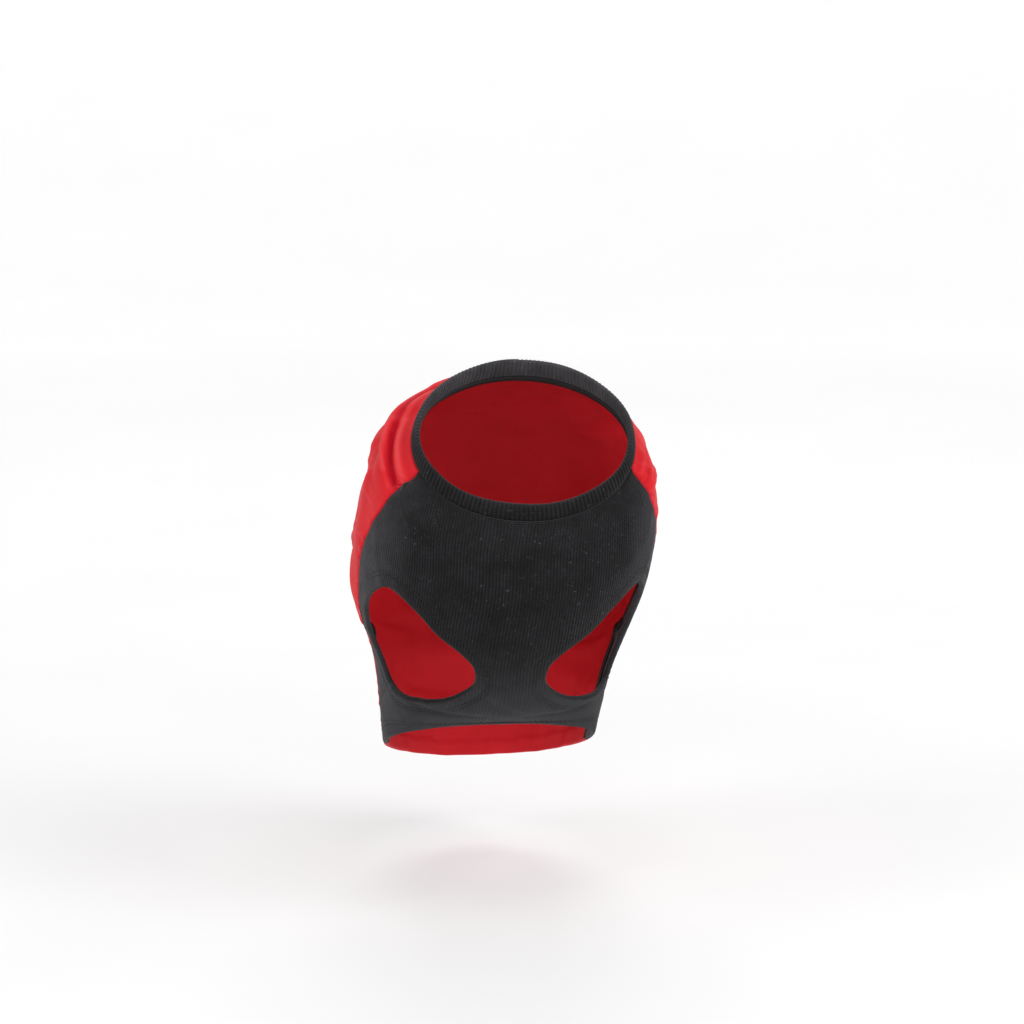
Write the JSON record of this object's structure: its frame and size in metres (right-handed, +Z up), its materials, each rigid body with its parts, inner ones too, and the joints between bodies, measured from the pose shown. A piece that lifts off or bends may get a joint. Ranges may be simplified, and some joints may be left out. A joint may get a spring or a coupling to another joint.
{
  "type": "dog coat",
  "caption": "Hollow pull-on coat for a small dog in its worn, sitting shape: black knit front with armholes, red woven back, narrow neck band.",
  "frame": {"origin": "on the inner face of the back panel at its middle, 20 mm down the cloth from the neck seam, where the wearer's withers carry the coat", "axes": "+Z up and -Y the way the chest faces, in the sitting pose of the picture; +X across the coat"},
  "size_m": [0.1404, 0.2102, 0.2164],
  "materials": {
    "black_knit": "matt fine-ribbed knit",
    "red_cloth": "smooth woven cloth with a slight satin sheen",
    "black_rib": "matt rib knit, folded double"
  },
  "bodies": {
    "root": {"front_panel": "black_knit", "back_panel": "red_cloth", "neck_binding": "black_rib"}
  },
  "joints": []
}
